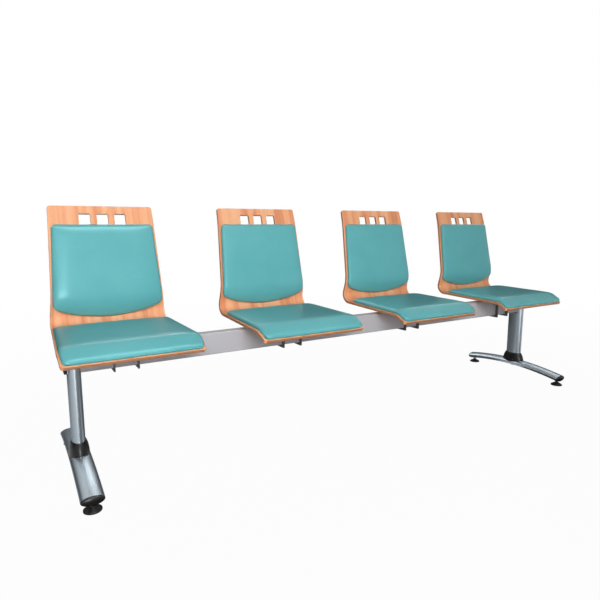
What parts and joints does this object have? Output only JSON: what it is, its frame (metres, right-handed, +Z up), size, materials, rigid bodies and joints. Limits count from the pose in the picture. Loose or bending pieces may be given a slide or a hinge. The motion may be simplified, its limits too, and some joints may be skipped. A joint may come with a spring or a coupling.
{
  "type": "beam seating",
  "caption": "Beam seating: upholstered bent plywood seats on a steel beam, carried by columns on arched feet with levelling glides.",
  "frame": {"origin": "on the floor, midway between the two columns and on their centre line", "axes": "+X along the beam to the sitter's left, -Y the way the sitters face, +Z up"},
  "size_m": [2.2104, 0.5472, 0.8324],
  "materials": {
    "beech_ply": "satin lacquer",
    "teal_vinyl": "glossy",
    "beam_paint": "matt",
    "dark_steel": "satin",
    "silver_steel": "satin",
    "black_plastic": "satin",
    "zinc_steel": "satin",
    "black_steel": "satin"
  },
  "bodies": {
    "bench": {"ply_shell_1": "beech_ply", "seat_pad_1": "teal_vinyl", "back_pad_1": "teal_vinyl", "seat_plate_1": "dark_steel", "bracket_cheek_1_left": "dark_steel", "bracket_cheek_1_right": "dark_steel", "ply_shell_2": "beech_ply", "seat_pad_2": "teal_vinyl", "back_pad_2": "teal_vinyl", "seat_plate_2": "dark_steel", "bracket_cheek_2_left": "dark_steel", "bracket_cheek_2_right": "dark_steel", "ply_shell_3": "beech_ply", "seat_pad_3": "teal_vinyl", "back_pad_3": "teal_vinyl", "seat_plate_3": "dark_steel", "bracket_cheek_3_left": "dark_steel", "bracket_cheek_3_right": "dark_steel", "ply_shell_4": "beech_ply", "seat_pad_4": "teal_vinyl", "back_pad_4": "teal_vinyl", "seat_plate_4": "dark_steel", "bracket_cheek_4_left": "dark_steel", "bracket_cheek_4_right": "dark_steel", "seat_screws": "zinc_steel", "tee_nuts": "zinc_steel", "clamp_bars": "dark_steel", "clamp_screws": "zinc_steel", "beam": "beam_paint", "beam_cap_left": "black_plastic", "column_left": "silver_steel", "beam_saddle_left": "dark_steel", "column_anchor_left": "dark_steel", "collar_left": "black_plastic", "foot_tube_left": "silver_steel", "foot_cap_left_front": "black_plastic", "glide_bush_left_front": "zinc_steel", "foot_cap_left_rear": "black_plastic", "glide_bush_left_rear": "zinc_steel", "beam_cap_right": "black_plastic", "column_right": "silver_steel", "beam_saddle_right": "dark_steel", "column_anchor_right": "dark_steel", "collar_right": "black_plastic", "foot_tube_right": "silver_steel", "foot_cap_right_front": "black_plastic", "glide_bush_right_front": "zinc_steel", "foot_cap_right_rear": "black_plastic", "glide_bush_right_rear": "zinc_steel", "beam_bolts": "zinc_steel", "foot_bolts": "zinc_steel"},
    "pad_left_front": {"glide_pad_left_front": "black_plastic"},
    "stud_left_front": {"glide_stud_left_front": "black_steel"},
    "pad_left_rear": {"glide_pad_left_rear": "black_plastic"},
    "stud_left_rear": {"glide_stud_left_rear": "black_steel"},
    "pad_right_front": {"glide_pad_right_front": "black_plastic"},
    "stud_right_front": {"glide_stud_right_front": "black_steel"},
    "pad_right_rear": {"glide_pad_right_rear": "black_plastic"},
    "stud_right_rear": {"glide_stud_right_rear": "black_steel"}
  },
  "joints": [
    {"name": "height_left_front", "type": "slide", "parent": "bench", "child": "pad_left_front", "axis": [0, 0, -1], "range_m": [0, 0.012]},
    {"name": "turn_left_front", "type": "hinge", "parent": "pad_left_front", "child": "stud_left_front", "pos_m": [-1.051, -0.245, 0.02], "axis": [0, 0, -1], "range_deg": [0, 2880]},
    {"name": "height_left_rear", "type": "slide", "parent": "bench", "child": "pad_left_rear", "axis": [0, 0, -1], "range_m": [0, 0.012]},
    {"name": "turn_left_rear", "type": "hinge", "parent": "pad_left_rear", "child": "stud_left_rear", "pos_m": [-1.051, 0.245, 0.02], "axis": [0, 0, -1], "range_deg": [0, 2880]},
    {"name": "height_right_front", "type": "slide", "parent": "bench", "child": "pad_right_front", "axis": [0, 0, -1], "range_m": [0, 0.012]},
    {"name": "turn_right_front", "type": "hinge", "parent": "pad_right_front", "child": "stud_right_front", "pos_m": [1.051, -0.245, 0.02], "axis": [0, 0, -1], "range_deg": [0, 2880]},
    {"name": "height_right_rear", "type": "slide", "parent": "bench", "child": "pad_right_rear", "axis": [0, 0, -1], "range_m": [0, 0.012]},
    {"name": "turn_right_rear", "type": "hinge", "parent": "pad_right_rear", "child": "stud_right_rear", "pos_m": [1.051, 0.245, 0.02], "axis": [0, 0, -1], "range_deg": [0, 2880]}
  ],
  "couplings": [
    {"joint": "turn_left_front", "follows": "height_left_front", "rad_per_m": 4188.8},
    {"joint": "turn_left_rear", "follows": "height_left_rear", "rad_per_m": 4188.8},
    {"joint": "turn_right_front", "follows": "height_right_front", "rad_per_m": 4188.8},
    {"joint": "turn_right_rear", "follows": "height_right_rear", "rad_per_m": 4188.8}
  ]
}
